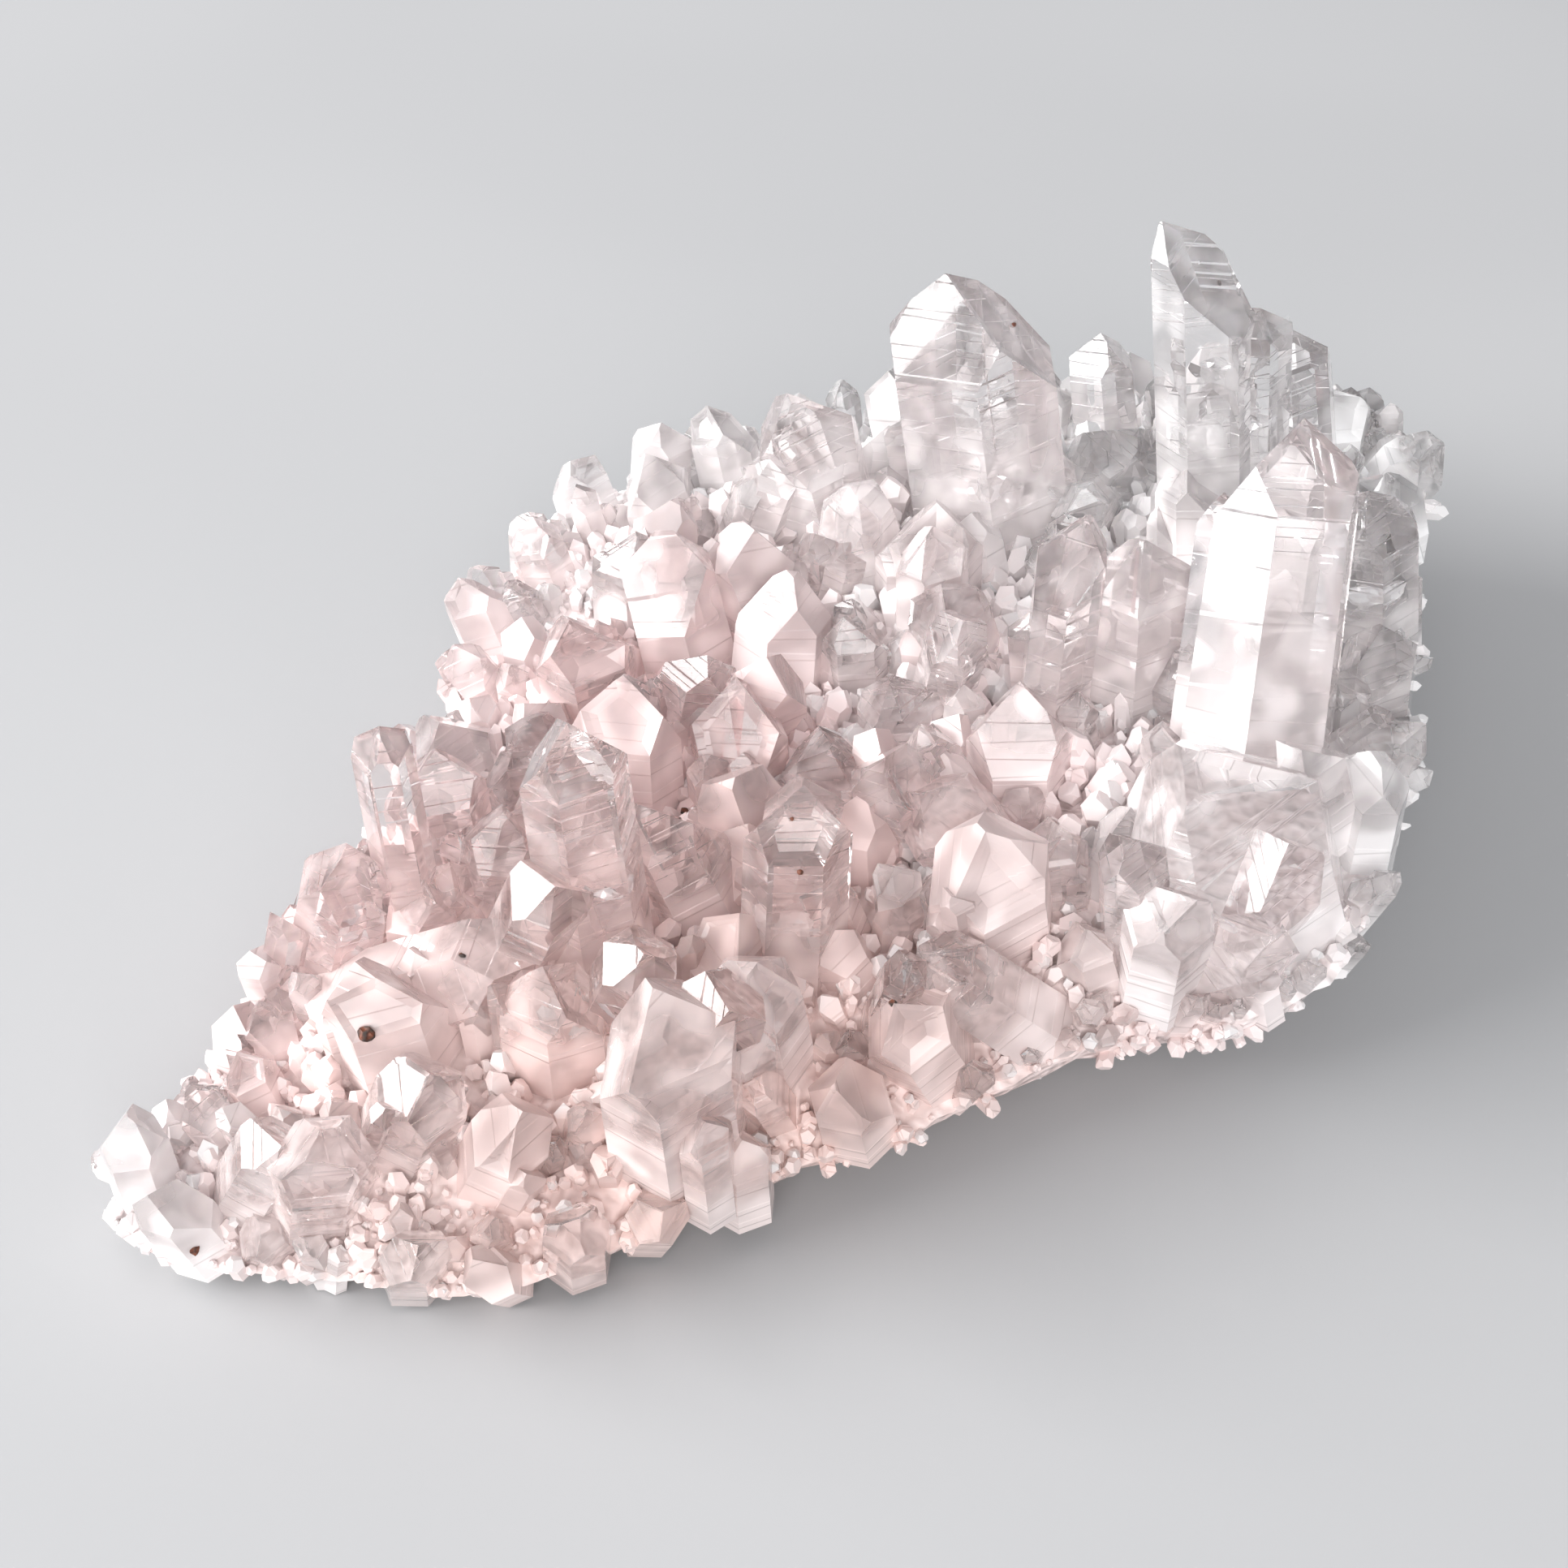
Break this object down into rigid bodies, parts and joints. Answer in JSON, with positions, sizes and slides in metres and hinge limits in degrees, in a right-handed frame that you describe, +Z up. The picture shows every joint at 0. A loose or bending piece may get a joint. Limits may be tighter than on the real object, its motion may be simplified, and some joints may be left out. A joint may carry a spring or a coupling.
{
  "type": "skeletal quartz cluster",
  "caption": "Crust of six-sided pink quartz points on a lumpy plate of quartz, a display mineral that lies on a flat surface",
  "frame": {"origin": "under the middle of the cluster, on the surface it lies on", "axes": "X along the cluster towards its thick end, Y across it away from the viewer, Z up"},
  "size_m": [0.1086, 0.0693, 0.0382],
  "materials": {
    "pink_quartz": "natural crystal faces, clear to milky"
  },
  "bodies": {
    "root": {"quartz_cluster": "pink_quartz"}
  },
  "joints": []
}
